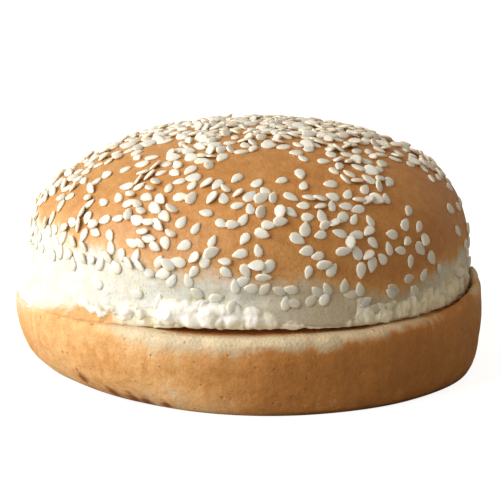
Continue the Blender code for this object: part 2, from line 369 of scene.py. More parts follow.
def turned(profile, steps, ring=False):
    """A closed bmesh turned about Z from a profile of radii and heights, which is a loop for a ring."""
    shape = bmesh.new()
    points = [shape.verts.new((radius, 0, height)) for radius, height in profile]
    edges = [shape.edges.new(pair) for pair in zip(points, points[1:])]
    if ring:
        edges.append(shape.edges.new((points[-1], points[0])))
    wedges = 2 ** WEDGE_DOUBLINGS
    turn = 2 * math.pi / wedges
    bmesh.ops.spin(shape, geom=points + edges, axis=(0, 0, 1), angle=turn, steps=steps // wedges)
    for _ in range(WEDGE_DOUBLINGS):
        whole = shape.verts[:] + shape.edges[:] + shape.faces[:]
        copy = bmesh.ops.duplicate(shape, geom=whole)["geom"]
        corners = [item for item in copy if isinstance(item, bmesh.types.BMVert)]
        bmesh.ops.rotate(shape, verts=corners, cent=(0, 0, 0), matrix=Matrix.Rotation(turn, 3, "Z"))
        turn *= 2
    bmesh.ops.remove_doubles(shape, verts=shape.verts, dist=MM / 1000)
    bmesh.ops.recalc_face_normals(shape, faces=shape.faces)
    return shape


def add_piece(name, shape, shares, look, node):
    """Makes a finished bmesh a piece of the bun."""
    mesh = bpy.data.meshes.new(name)
    shape.to_mesh(mesh)
    shape.free()
    return add_mesh(name, mesh, shares, look, node)


def add_mesh(name, mesh, shares, look, node):
    """Makes a mesh a smooth piece that rides on the bun and stands for a node's solid.

    The shares are named values at each vertex that its look reads.
    """
    mesh.shade_smooth()
    mesh.materials.append(look)
    for label, values in shares.items():
        mesh.attributes.new(label, "FLOAT", "POINT").data.foreach_set("value", values)
    piece = bpy.data.objects.new(name, mesh)
    bpy.context.scene.collection.objects.link(piece)
    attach(piece, "root")
    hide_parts(node)
    return piece


# Torn crumb, crust edge and other relief

CRUMB_CELL = 3.6 * MM
CRUMB_DEPTH = 0.5 * MM
FINE_CELL = 1.1 * MM
FINE_DEPTH = 0.22 * MM
SKIN_CELL = 2.6 * MM
SKIN_DEPTH = 0.35 * MM
FIBRE_WIDTH = 0.9 * MM
FIBRE_LENGTH = 6.0 * MM
FIBRE_DEPTH = 0.42 * MM
FIBRE_SIDE = (-20, 44, 1.6)
ROUGH_SKIN_SIDE = (LEFT, 75, 2)
HOLLOW_HEIGHT = 24.6 * MM
HOLLOW_HALF = 2.6 * MM
HOLLOW_DEPTH = 0.75 * MM
HOLLOW_SIDE = (-88, 42)
TORN_FADE = 0.9 * MM
TORN_SWELLS = ((1.5 * MM, 260), (0.9 * MM, 620))
CRUST_EDGE_SWELLS = ((2.2 * MM, 90), (0.8 * MM, 380))
RAGGED_SWELL = (0.8 * MM, 420)
SIDE_FROM = CROWN_RADIUS * 0.93
SIDE_FADE = CROWN_RADIUS * 0.04
CLOSED_SIDE = (-165, 60)
SEAM_RADIUS = 51.9 * MM
SEAM_CLOSING = 0.26 * MM
SEAM_LAP = 0.55 * MM
SEAM_ROLL = 1.5 * MM
SEAM_GOLD_SIDE = (-136, 22, 2)
SEAM_GOLD_PEAK = (-134, 16)
SEAM_GOLD_RISE = 2.7 * MM
SEAM_GOLD_DROP = 0.2 * MM
SEAM_GOLD_FADE = 2.4 * MM
SEAM_GOLD_BAKE = 0.6
SEAM_GOLD_SWELLS = ((0.9 * MM, 170), (0.4 * MM, 520))

# Direction, spread and height above the crown's underside to which the crumb is torn open
TORN_TOPS = (
    (-122, 26, 4.2 * MM),
    (-99, 27, 6.0 * MM),
    (-44, 24, 4.8 * MM),
    (-22, 24, 8.5 * MM),
    (BACK, 110, 2.6 * MM),
)

# Direction, spread and change in the height at which the golden crust gives way to the pale band
CRUST_EDGES = (
    (LEFT, 92, 7.4 * MM),
    (-125, 30, 0.9 * MM),
    (-55, 38, -3.2 * MM),
    (-10, 40, 1.5 * MM),
)
CRUST_EDGE_HEIGHT = 29.1 * MM
CRUST_FADE = 7.6 * MM

# Direction, spread, fullness and share of each stretch of the pale band with a white skin
WHITE_STRETCHES = (
    (-160, 105, 1.6, 1.0),
    (-97, 22, 1.0, 1.0),
    (-22, 35, 1.0, 0.8),
)


def torn_top(azimuth, point):
    """The height up to which the crumb is torn open, in a direction."""
    tops = [height * bell(azimuth, middle, spread) for middle, spread, height in TORN_TOPS]
    return CROWN_UNDERSIDE + max(tops) + waves(point, *TORN_SWELLS)


def torn_at(point):
    """How far the crumb is torn open at a point, as a share."""
    return ease((torn_top(azimuth_of(point), point) - point.z) / TORN_FADE + 0.5)


def crust_edge(azimuth, point):
    """The height at which the golden crust gives way to the pale band."""
    change = sum(change * bell(azimuth, middle, spread) for middle, spread, change in CRUST_EDGES)
    return CRUST_EDGE_HEIGHT + change + waves(point, *CRUST_EDGE_SWELLS)


def film_share(azimuth):
    """How white the skin of the pale band is in a direction."""
    return max(share * bell(azimuth, *stretch) for *stretch, share in WHITE_STRETCHES)


def crumb_lumps(point):
    """Height of rounded crumb lumps with clefts between them, from 0 to 1."""
    warp = noise.noise_vector(point * 300) * 0.35
    distances, _ = noise.voronoi(point / CRUMB_CELL + warp)
    return ease((distances[1] - distances[0]) / 0.42)


def fibres(point):
    """Height of the fine upright fibres of torn crumb at the right."""
    along = Vector((point.x / FIBRE_WIDTH, point.y / FIBRE_WIDTH, point.z / FIBRE_LENGTH))
    height = noise.noise(along) + 0.5 * noise.noise(along * 2.3)
    return FIBRE_DEPTH * height * bell(azimuth_of(point), *FIBRE_SIDE)


def crown_relief(point):
    """How far the crown's lower edge stands out from its even form, how torn it is, and its lumps."""
    azimuth = azimuth_of(point)
    torn = torn_at(point)
    lumps = crumb_lumps(point)
    fine = noise.turbulence(point / FINE_CELL, 3, False)
    push = torn * (CRUMB_DEPTH * (lumps - 0.3) + FINE_DEPTH * fine)
    band = ease((WAIST_HEIGHT + MM - point.z) / (4 * MM))
    skin = SKIN_DEPTH * noise.turbulence(point / SKIN_CELL, 3, False) * bell(azimuth, *ROUGH_SKIN_SIDE)
    push += band * (fibres(point) + skin)
    hollow = ease(1 - abs(point.z - HOLLOW_HEIGHT) / HOLLOW_HALF) * bell(azimuth, *HOLLOW_SIDE)
    push -= HOLLOW_DEPTH * hollow * (0.6 + 0.8 * noise.noise(point * 240))
    return push, torn, lumps


def gold_at_seam(azimuth, point):
    """How golden the crown's lowest edge is where it is pressed onto the heel at the front left."""
    top = CROWN_UNDERSIDE + SEAM_GOLD_RISE * bell(azimuth, *SEAM_GOLD_PEAK) - SEAM_GOLD_DROP
    below = top + waves(point, *SEAM_GOLD_SWELLS) - point.z
    return ease(below / SEAM_GOLD_FADE + 0.5) * bell(azimuth, *SEAM_GOLD_SIDE)


def make_crown(look):
    shape = turned(crown_profile(), CROWN_STEPS)
    shares = {label: [] for label in ("bake", "torn", "cleft_shade", "cut", "paler_and_lit", "film")}
    for vertex in shape.verts:
        even = vertex.co.copy()
        azimuth = azimuth_of(even)
        placed = crown_place(even)
        on_side = ease((math.hypot(even.x, even.y) - SIDE_FROM) / SIDE_FADE)
        torn, lumps = 0, 1
        if even.z < WAIST_HEIGHT + 3 * MM:
            push, torn, lumps = crown_relief(placed)
            torn *= 1 - bell(azimuth, *SEAM_GOLD_SIDE)
            outward = Vector((even.x, even.y, 0)).normalized()
            hang = ease((CROWN_UNDERSIDE + SEAM_ROLL - even.z) / SEAM_ROLL) * on_side
            closed = bell(azimuth, *CLOSED_SIDE)
            shy = max(SEAM_RADIUS - math.hypot(placed.x, placed.y), 0)
            placed += outward * (push * on_side + hang * closed * shy)
            drop = mix(-SEAM_CLOSING, waves(placed, RAGGED_SWELL), slit(azimuth))
            placed.z += hang * (drop - SEAM_LAP * closed * on_side)
        vertex.co = placed
        crusty = ease((placed.z - crust_edge(azimuth, placed)) / CRUST_FADE + 0.5)
        shares["bake"].append(max(crusty, SEAM_GOLD_BAKE * gold_at_seam(azimuth, placed)))
        shares["torn"].append(torn * on_side)
        # Painted shade: clefts between the lumps take the darker cleft colour
        shares["cleft_shade"].append(1 - lumps)
        shares["cut"].append(1 - on_side if even.z < CROWN_UNDERSIDE + CROWN_CORNER else 0)
        # Paler crust on the lit left: partly real, partly painted light
        shares["paler_and_lit"].append(bell(azimuth, LEFT, 180))
        shares["film"].append(film_share(azimuth))
    return add_piece("crown_crust", shape, shares, look, "crown")


# Heel relief: direction in degrees, height and half width of each scorched spot at the foot
SCORCHED_SPOTS = (
    (-136, 4.6 * MM, 1.5 * MM),
    (-127, 2.6 * MM, 1.7 * MM),
    (-121, 1.6 * MM, 1.8 * MM),
    (-117, 1.4 * MM, 1.7 * MM),
    (-111, 1.3 * MM, 1.2 * MM),
)

# Direction, spread, fullness and change in the height at which the brown crust gives way to the pale rim
RIM_EDGES = (
    (-92, 42, 1.5, -2.5 * MM),
    (0, 42, 2, 2.6 * MM),
    (-138, 16, 1.5, 2.0 * MM),
    (-172, 24, 1.5, -1.3 * MM),
    (-76, 12, 1, -0.5 * MM),
)
RIM_EDGE_HEIGHT = CUT_HEIGHT - 0.4 * MM
RIM_EDGE_SWELLS = ((1.2 * MM, 1), (1.5 * MM, 0.4))
RIM_FADE = 3.2 * MM
LEFT_RIM_FADE = 6.5 * MM
LEFT_RIM_SIDE = (-112, 28, 1.5)
RIM_DIP = 0.55 * MM
RIM_DIP_MORE = 0.2 * MM
RIM_DIP_DEEPEST = (-98, 20, 1.5)
RIM_DIP_RADIUS = 28 * MM
RIM_DIP_SLOPE = 12 * MM
RIM_DIP_FROM = -117
RIM_DIP_TO = -53
DENT_SWELLS = ((0.20 * MM, 180), (0.07 * MM, 600))
DENT_DEPTH = 0.12 * MM
SCALLOP_DEPTH = 0.35 * MM
EAR_RISE = 1.8 * MM
EAR_SIDE = (-2, 36, 1.5)
EAR_SWELLS = ((0.8, 210), (0.3, 520))
LIGHTER_FOOT_SIDE = (-103, 17, 1.3)
LIGHTER_FOOT_HEIGHT = 9 * MM
BLOTCH_HEIGHT = 3.4 * MM
CLEAN_FOOT_SIDE = (-98, 24, 1.4)


def scorched(point):
    """How scorched the heel is at a point, as a share."""
    shares = [0]
    for azimuth, height, half in SCORCHED_SPOTS:
        turn = math.radians(azimuth)
        radius = math.hypot(point.x, point.y)
        spot = Vector((radius * math.cos(turn), radius * math.sin(turn), height))
        ragged = 1 + 0.6 * noise.noise(point * 700)
        shares.append(ease(1.3 - (point - spot).length / (half * ragged)))
    return max(shares)


def rim_dip(azimuth):
    """How far the heel's cut face dips along the front gap, in a direction."""
    dip = ease((azimuth - RIM_DIP_FROM) / 13) * ease((RIM_DIP_TO - azimuth) / 9)
    return dip * (RIM_DIP + RIM_DIP_MORE * bell(azimuth, *RIM_DIP_DEEPEST))


def heel_surface(even, azimuth, radius):
    """Where a point of the evenly turned heel lies with its dents, scalloped rim, raised ear and dip."""
    placed = heel_place(even)
    outward = Vector((even.x, even.y, 0)).normalized() if radius > MM else Vector((0, 0, 0))
    outer = ease((radius - 40 * MM) / (5 * MM))
    past_side = even.z - SIDE_HEIGHT
    rim = ease(past_side / (2 * MM)) * outer
    dents = waves(placed, *DENT_SWELLS) - DENT_DEPTH
    scallops = SCALLOP_DEPTH * level_noise(placed, 260, 3.7)
    placed += outward * (dents * ease(even.z / (2 * MM)) * outer + scallops * rim)
    placed.z += min(scallops, 0) * rim * bell(azimuth, FRONT, 45)
    ear = bell(azimuth, *EAR_SIDE) * ease((radius - HEEL_LAND) / (0.9 * MM))
    ear *= 1 + waves(placed, *EAR_SWELLS)
    placed.z += EAR_RISE * ear * ease((past_side + 3 * MM) / (5 * MM))
    dip = rim_dip(azimuth) * ease((past_side + 2 * MM) / (4 * MM))
    placed.z -= dip * ease((radius - RIM_DIP_RADIUS) / RIM_DIP_SLOPE)
    shy = max(HEEL_RADIUS - math.hypot(placed.x, placed.y), 0)
    closed = 0.85 * bell(azimuth, *CLOSED_SIDE) * ease((radius - HEEL_LAND) / MM)
    return placed + outward * shy * closed * rim


def foot_lightening(azimuth, point):
    """How much lighter the heel's foot is at the front left, as a share."""
    return bell(azimuth, *LIGHTER_FOOT_SIDE) * ease(1 - point.z / LIGHTER_FOOT_HEIGHT)


def rim_share(azimuth, point):
    """How pale the heel's crust is: fully at its sliced rim, and a little at the lighter front-left foot."""
    along = Vector((point.x * 330, point.y * 330, point.z * 60))
    edge = RIM_EDGE_HEIGHT - rim_dip(azimuth) + waves(along, *RIM_EDGE_SWELLS)
    edge += sum(change * bell(azimuth, *side) for *side, change in RIM_EDGES)
    fade = mix(RIM_FADE, LEFT_RIM_FADE, bell(azimuth, *LEFT_RIM_SIDE))
    pale = ease((point.z - edge) / fade + 0.5) * (1 - 0.35 * bell(azimuth, -42, 26))
    return max(pale, 0.22 * foot_lightening(azimuth, point))


def foot_share(azimuth, point):
    """How browned the heel's foot is: along its very edge, and in blotches above it."""
    blotch = ease(4 * level_noise(point, 130, 9.1) + 0.3)
    browned = ease(1.4 - point.z / MM) + 0.55 * blotch * ease(1 - point.z / BLOTCH_HEIGHT)
    return browned * (1 - 0.9 * bell(azimuth, *CLEAN_FOOT_SIDE))


def heel_paler_and_lit(azimuth, point):
    """How light the heel's crust is: most at the lit left, partly paler crust and partly painted light, and a
    little at the right and on the ear.
    """
    left = bell(azimuth, LEFT, 102, 2.6) + 0.3 * foot_lightening(azimuth, point)
    ear = 0.5 * bell(azimuth, -6, 26) * ease((point.z - SIDE_HEIGHT + MM) / (4 * MM))
    return max(left, 0.2 * bell(azimuth, -8, 40), ear)


def make_heel(look):
    shape = turned(heel_profile(), HEEL_STEPS)
    shares = {label: [] for label in ("rim", "cut", "foot", "scorch", "paler_and_lit")}
    for vertex in shape.verts:
        even = vertex.co.copy()
        radius = math.hypot(even.x, even.y)
        azimuth = azimuth_of(even)
        placed = heel_surface(even, azimuth, radius)
        vertex.co = placed
        on_cut = even.z > CUT_HEIGHT - MM / 10
        shares["rim"].append(rim_share(azimuth, placed))
        shares["cut"].append(ease((HEEL_LAND - radius) / MM) if on_cut else 0)
        shares["foot"].append(foot_share(azimuth, placed))
        shares["scorch"].append(scorched(placed))
        shares["paler_and_lit"].append(heel_paler_and_lit(azimuth, placed))
    return add_piece("heel_crust", shape, shares, look, "heel")


# Torn white crumb: direction of each large lump, then in millimetres the height of its middle, its width,
# own height and depth
LARGE_LUMPS = (
    (-102.0, 21.1, 21.0, 5.2, 0.85),
    (-89.5, 20.5, 14.0, 4.0, 0.6),
    (-109.6, 21.6, 5.8, 6.0, 1.2),
    (-104.3, 21.3, 5.4, 5.8, 1.0),
    (-99.5, 21.0, 4.8, 5.4, 1.4),
    (-94.4, 21.2, 5.6, 5.4, 1.2),
    (-89.4, 20.8, 4.2, 4.6, 1.1),
    (-85.2, 20.2, 3.8, 3.4, 0.8),
)

# First and last direction and count of the small lumps in each run, then in millimetres the
# least and most of the height of their feet above the crown's edge, their width, own height and depth
LUMP_RUNS = (
    (-136, -113, 11, (0.0, 2.2), (2.2, 4.2), (1.8, 3.2), (0.5, 0.9)),
    (-86, -76, 3, (0.0, 0.3), (2.4, 3.4), (1.2, 2.0), (0.4, 0.6)),
    (-62, -25, 22, (-0.8, 0.2), (2.4, 4.4), (3.2, 5.4), (0.4, 0.85)),
    (-46, -22, 9, (1.5, 3.5), (1.6, 3.0), (2.4, 4.0), (0.5, 0.8)),
    (35, 170, 30, (-0.4, 0.6), (2.0, 6.0), (1.0, 2.4), (0.5, 0.9)),
)
LUMP_SQUARENESS = 2.6
LUMP_MERGING = 3
LUMP_REACH = 14
CRUMB_DRAW = 5
CRUMB_STEPS = 1792
CRUMB_OPENING = 0.3 * MM
CRUMB_ROWS = 28
CRUMB_FOOT_WAVES = (0.35 * MM, 28)
CRUMB_TALL = 7.0 * MM
# The crumb's shaded right side, painted in the cleft colour as shade
SHADED_CRUMB_SIDE = (-38, 34, 1.5)
CRUMB_HIDDEN = 0.35 * MM
CRUMB_THICK = 2.0 * MM
CURL_HEIGHT = 0.7 * MM
LUMP_WARP = 0.55 * MM
LUMP_GRAIN = 0.16 * MM
LUMP_EDGE = 0.4 * MM
LUMP_CLEAR = 0.85 * MM


def lump_list():
    """Direction of every lump, then in metres its middle height, width, own height and depth."""
    draw = random.Random(CRUMB_DRAW)
    lumps = [(azimuth, *[size * MM for size in sizes]) for azimuth, *sizes in LARGE_LUMPS]
    for first, last, count, feet, widths, heights, depths in LUMP_RUNS:
        for step in range(count):
            azimuth = mix(first, last, (step + draw.uniform(0, 1)) / count)
            tall = draw.uniform(*heights) * MM
            foot = CROWN_UNDERSIDE + SLIT_OPENING * slit(azimuth) + draw.uniform(*feet) * MM
            width = draw.uniform(*widths) * MM
            lumps.append((azimuth, foot + tall / 2, width, tall, draw.uniform(*depths) * MM))
    return lumps


def lumps_near(lumps, azimuth):
    """The lumps near a direction, each with how far along the edge it is from there."""
    near = []
    for lump in lumps:
        away = (azimuth - lump[0] + 180) % 360 - 180
        if abs(away) < LUMP_REACH:
            near.append((math.radians(away) * CROWN_RADIUS, lump))
    return near


def lump_height(near, height, warp):
    """How far the merged lumps stand out at a height."""
    total = 0
    for across, (_, middle, width, tall, depth) in near:
        side = abs(2 * (across + warp.x) / width) ** LUMP_SQUARENESS
        end = abs(2 * (height - middle + warp.z) / tall) ** LUMP_SQUARENESS
        total += (depth * math.sqrt(max(1 - side - end, 0))) ** LUMP_MERGING
    return total ** (1 / LUMP_MERGING)


def wall_seat(skin, azimuth, height):
    """The spot and outward direction on the crown's side in a direction at a height."""
    middle = Vector((0, 0, height))
    found, outward, _, _ = skin.ray_cast(middle, heading(azimuth, 0))
    return found, outward


def crumb_profile():
    """An upright loop at the crown's lower edge: the outside from top to bottom, then the inside."""
    outside = [(CROWN_RADIUS, height) for height in evenly(CRUMB_TALL, 0, CRUMB_ROWS)]
    inside = CROWN_RADIUS - CRUMB_THICK
    return [(CROWN_RADIUS, CRUMB_TALL)] + outside + [(inside, 0), (inside, CRUMB_TALL)]


def make_crumb(skin, look):
    """One closed ring of torn crumb at the crown's lower edge, under the skin where no lump stands out."""
    lumps = lump_list()
    shape = turned(crumb_profile(), CRUMB_STEPS, ring=True)
    known = {}
    painted_shade = []
    for vertex in shape.verts:
        even = vertex.co.copy()
        azimuth = azimuth_of(even)
        outward = Vector((even.x, even.y, 0)).normalized()
        column = round(azimuth, 2)
        if column not in known:
            known[column] = lumps_near(lumps, azimuth)
        foot = CROWN_UNDERSIDE + CRUMB_OPENING * slit(azimuth) + waves(outward, CRUMB_FOOT_WAVES)
        height = foot + even.z
        wall, _ = wall_seat(skin, azimuth, max(height, foot + CROWN_CORNER + 0.3 * MM))
        spot = Vector((wall.x, wall.y, height))
        inset = CRUMB_HIDDEN
        stands = 0
        if math.hypot(even.x, even.y) < CROWN_RADIUS - CRUMB_THICK / 2:
            inset += CRUMB_THICK
        else:
            warp = noise.noise_vector(spot * 420) * LUMP_WARP
            stands = lump_height(known[column], height, warp)
            grain = LUMP_GRAIN * noise.turbulence(spot * 700, 2, False) + fibres(spot) * 0.6
            curl = math.cos(math.pi / 2 * max(1 - even.z / CURL_HEIGHT, 0))
            inset -= (stands + grain * ease(stands / LUMP_EDGE)) * curl
        vertex.co = spot - outward * inset
        # Painted shade: crumb that stands out little, and all crumb on the shaded right side, takes the
        # darker cleft colour
        painted_shade.append(max(ease(1.25 - stands / LUMP_CLEAR), bell(azimuth, *SHADED_CRUMB_SIDE)))
    return add_piece("torn_crumb", shape, {"cleft_shade": painted_shade}, look, "crown")


# Sesame seeds

def heading(azimuth, rise):
    """The direction on a unit ball at an azimuth in degrees and a height of its centre."""
    level = math.sqrt(1 - rise * rise)
    turn = math.radians(azimuth)
    return Vector((level * math.cos(turn), level * math.sin(turn), rise))


def even_dome(azimuth, rise):
    """The same direction's point on a smooth half ellipsoid with the dome's width and rise."""
    spot = heading(azimuth, rise)
    return Vector((spot.x * CROWN_RADIUS, spot.y * CROWN_RADIUS, spot.z * DOME_RISE))


def seed_share(azimuth, rise):
    """The share of falling seeds that stick: all at the top, more at the left than elsewhere."""
    side = mix(SIDE_SHARE, LEFT_SHARE, bell(azimuth, LEFT, 100))
    return mix(side, 1, rise)


def crowd_share(azimuth, rise):
    """The share of the later, crowding seeds that stick at a spot of the dome."""
    right = bell(azimuth, 0, 75, 1.5) * (1 - ease(rise / 0.7))
    share = mix(CROWD_SHARE, CROWD_RIGHT_SHARE, right)
    spot = even_dome(azimuth, rise)
    for middle, height, half, patch_share in CROWD_PATCHES:
        nearness = ease(1.6 * (1 - (spot - even_dome(middle, height)).length / (half * MM)))
        share = mix(share, patch_share, nearness)
    return mix(share, 1, ease((rise - CROWDED_TOP) / (1 - CROWDED_TOP) * 1.6))


def in_bare_patch(spot):
    return any((spot - even_dome(azimuth, rise)).length < half * MM for azimuth, rise, half in BARE_PATCHES)


def seed_draws():
    """Azimuth, rise, turn, size and spot of each dome seed: first well spaced ones, then crowding ones."""
    draw = random.Random(SEED_DRAW)
    kept = []
    while len(kept) < SPACED_SEEDS + CROWDED_SEEDS:
        spaced = len(kept) < SPACED_SEEDS
        azimuth = draw.uniform(-180, 180)
        rise = draw.uniform(LOWEST_SEED, 1)
        crowded = mix(CROWDED_SPACING, TOP_SPACING, ease((rise - CROWDED_TOP) / 0.1))
        spacing = SEED_SPACING if spaced else crowded
        turn = draw.uniform(0, 2 * math.pi)
        size = draw.uniform(*SEED_SIZES)
        sticks = draw.random() < (seed_share if spaced else crowd_share)(azimuth, rise)
        spot = even_dome(azimuth, rise)
        clear = all((spot - other).length > spacing for *_, other in kept)
        if sticks and clear and not in_bare_patch(spot):
            kept.append((azimuth, rise, turn, size, spot))
    return kept


def seat(spot, outward, turn, sink):
    """The matrix that lays a piece made round the origin on a surface, turned about its outward direction."""
    lie = outward.to_track_quat("Z", "Y").to_matrix().to_4x4()
    return Matrix.Translation(spot - outward * sink) @ lie @ Matrix.Rotation(turn, 4, "Z")


def seed_shape():
    """A flat teardrop with full edges and slightly dished faces, one unit long."""
    shape = bmesh.new()
    bmesh.ops.create_uvsphere(shape, u_segments=SEED_SIDES, v_segments=SEED_RINGS, radius=1)
    bmesh.ops.recalc_face_normals(shape, faces=shape.faces)
    rims = []
    for vertex in shape.verts:
        level = math.hypot(vertex.co.x, vertex.co.y)
        fuller = level ** -0.35 if level > 0.01 else 1
        vertex.co.x *= fuller
        tip = SEED_TIP * max(vertex.co.x, 0) ** 2
        vertex.co.y *= fuller * (1 - SEED_TAPER * vertex.co.x - tip)
        vertex.co.z *= 1 - SEED_DISH * ease(1 - level / 0.8)
        rims.append(ease((level - 0.35) / 0.6))
        vertex.co *= 0.5
    return shape, rims


def band_draws():
    """Azimuth, height, turn, sink and veil of each seed baked into the pale band."""
    draw = random.Random(SEED_DRAW)
    for seed in range(BAND_SEEDS):
        azimuth = mix(BAND_FROM, BAND_TO, (seed + draw.uniform(0.2, 0.8)) / BAND_SEEDS)
        height = draw.uniform(*BAND_HEIGHTS)
        yield azimuth, height, draw.uniform(0, math.pi), SEED_SINK, draw.uniform(0, 0.5)
    for seed in range(VEILED_SEEDS):
        azimuth = mix(VEILED_FROM, VEILED_TO, (seed + draw.uniform(0, 1)) / VEILED_SEEDS)
        height = draw.uniform(*VEILED_HEIGHTS)
        yield azimuth, height, draw.uniform(0, math.pi), draw.uniform(*VEILED_SINK), draw.uniform(0.3, 1)


def make_seeds(skin, look):
    """All seeds as one mesh, joined from arrays. The later ones lean on those they crowd."""
    shape, rims = seed_shape()
    corners = np.array([vertex.co[:] for vertex in shape.verts])
    faces = [[vertex.index for vertex in face.verts] for face in shape.faces]
    shape.free()
    draw = random.Random(SEED_DRAW + 1)
    core = Vector((0, 0, WAIST_HEIGHT))
    seeds = []
    kept = seed_draws()
    for number, (azimuth, rise, turn, size, spot) in enumerate(kept):
        found, outward, _, _ = skin.ray_cast(core, even_dome(azimuth, rise))
        lean = Matrix.Rotation(math.radians(draw.uniform(-7, 7)), 4, "X")
        sink = SEED_THICKNESS * (SEED_SINK - 0.5)
        crowd = [other for *_, other in kept[:number] if (spot - other).length < SEED_LEAN_REACH]
        if crowd:
            away = (spot - sum(crowd, Vector()) / len(crowd)).normalized()
            tip = outward.cross(away).normalized()
            lean = lean @ Matrix.Rotation(math.radians(draw.uniform(8, 24)), 4, "X")
            outward = (outward + away * 0.25).normalized()
            sink -= CROWDED_LIFT
            turn = math.atan2(tip.y, tip.x)
        elif number > SPACED_SEEDS and draw.random() < LOOSE_SHARE:
            lean = Matrix.Rotation(math.radians(draw.uniform(20, 40)), 4, "X")
            sink -= LOOSE_LIFT
        sides = Matrix.Diagonal((
            SEED_LENGTH * size,
            SEED_WIDTH * size * draw.uniform(0.9, 1.12),
            SEED_THICKNESS * draw.uniform(0.85, 1.15),
            1,
        ))
        place = seat(found, outward, turn, sink) @ lean @ sides
        seeds.append((place, draw.random(), 0, film_share(azimuth)))
    for azimuth, height, turn, share, veil in band_draws():
        found, outward = wall_seat(skin, azimuth, height)
        sides = Matrix.Diagonal((SEED_LENGTH, SEED_WIDTH, SEED_THICKNESS, 1))
        place = seat(found, outward, turn, SEED_THICKNESS * (share - 0.5)) @ sides
        seeds.append((place, draw.random(), veil, film_share(azimuth)))
    places, tones, veils, films = zip(*seeds)
    matrices = np.array([[list(row) for row in place] for place in places])
    points = np.einsum("nij,vj->nvi", matrices[:, :3, :3], corners) + matrices[:, None, :3, 3]
    over = points[:, :, 2].max(axis=1) - SOLIDS_BOX[1][2]
    points[:, :, 2] -= np.maximum(over, 0)[:, None]
    count = len(corners)
    joined = [[corner + count * copy for corner in face] for copy in range(len(places)) for face in faces]
    mesh = bpy.data.meshes.new("sesame_seeds")
    mesh.from_pydata(points.reshape(-1, 3).tolist(), [], joined)
    shares = {
        "tone": np.repeat(tones, count),
        "veil": np.repeat(veils, count),
        "film": np.repeat(films, count),
        "seed_rim": np.tile(rims, len(places)),
    }
    return add_mesh("sesame_seeds", mesh, shares, look, "crown")


# Materials

DULL_FILM = (0.50, 0.43, 0.30, 1)
WHITE_FILM = (0.69, 0.71, 0.66, 1)
YELLOW_FILM = (0.67, 0.63, 0.44, 1)
# Cut faces: toasted brown, kept dark partly as painted shade for the front slit
SLIT_SHADE_TOASTED_DARK = (0.62, 0.25, 0.07, 1)
SLIT_SHADE_TOASTED_LIGHT = (0.80, 0.42, 0.15, 1)
# Crumb colours: a light one, and a darker yellowish one painted into clefts as shade
CRUMB_LIGHT = (0.88, 0.88, 0.84, 1)
CRUMB_CLEFT_SHADE = (0.80, 0.74, 0.52, 1)
SKIN_LIGHT = (0.76, 0.745, 0.66, 1)
SKIN_CLEFT_SHADE = (0.62, 0.55, 0.33, 1)
FLOOR_COLOUR = (0.40, 0.385, 0.36, 1)
FLOOR_GLOW = 0.88
WINDOW_COLOUR = (1.0, 0.99, 0.96)
BELT_HEIGHT = 9.5 * MM
BELT_HALF = 6.0 * MM
CRUST_BUMP = 0.4 * MM
CRUMB_BUMP = 0.25 * MM
SEED_BUMP = 0.1 * MM


def new_group(name, inputs, outputs):
    group = bpy.data.node_groups.new(name, "ShaderNodeTree")
    for label, value in inputs:
        kind = "NodeSocketColor" if isinstance(value, tuple) else "NodeSocketFloat"
        group.interface.new_socket(label, in_out="INPUT", socket_type=kind).default_value = value
    for label, kind in outputs:
        group.interface.new_socket(label, in_out="OUTPUT", socket_type=kind)
    return group


class Tree:
    """Short calls that add and join the nodes of one tree."""

    def __init__(self, tree):
        self.nodes = tree.nodes
        self.links = tree.links

    def add(self, kind, settings=(), **inputs):
        node = self.nodes.new(kind)
        for label, value in dict(settings).items():
            setattr(node, label, value)
        for label, value in inputs.items():
            self.feed(node.inputs[label.replace("_", " ")], value)
        return node

    def feed(self, socket, value):
        if isinstance(value, bpy.types.NodeSocket):
            self.links.new(value, socket)
        else:
            socket.default_value = value

    def math(self, operation, first, second=0.0):
        node = self.add("ShaderNodeMath", {"operation": operation})
        self.feed(node.inputs[0], first)
        self.feed(node.inputs[1], second)
        return node.outputs[0]

    def blend(self, share, first, second):
        node = self.add("ShaderNodeMix", {"data_type": "RGBA"}, Factor=share, A=first, B=second)
        return node.outputs["Result"]

    def noise(self, where, scale, detail=3.0, roughness=0.5):
        node = self.add("ShaderNodeTexNoise", Vector=where, Scale=scale, Detail=detail, Roughness=roughness)
        return node.outputs["Fac"]

    def cells(self, where, scale):
        return self.add("ShaderNodeTexVoronoi", Vector=where, Scale=scale).outputs["Distance"]

    def span(self, value, low, high, start=0.0, end=1.0):
        """The value's place between low and high, kept within them, moved to between start and end."""
        reach = {"From_Min": low, "From_Max": high, "To_Min": start, "To_Max": end}
        return self.add("ShaderNodeMapRange", Value=value, **reach).outputs["Result"]

    def share(self, name):
        return self.add("ShaderNodeAttribute", {"attribute_name": name}).outputs["Fac"]

    def place(self):
        return self.nodes.new("ShaderNodeTexCoord").outputs["Object"]

    def group(self, group, **inputs):
        return self.add("ShaderNodeGroup", {"node_tree": group}, **inputs)


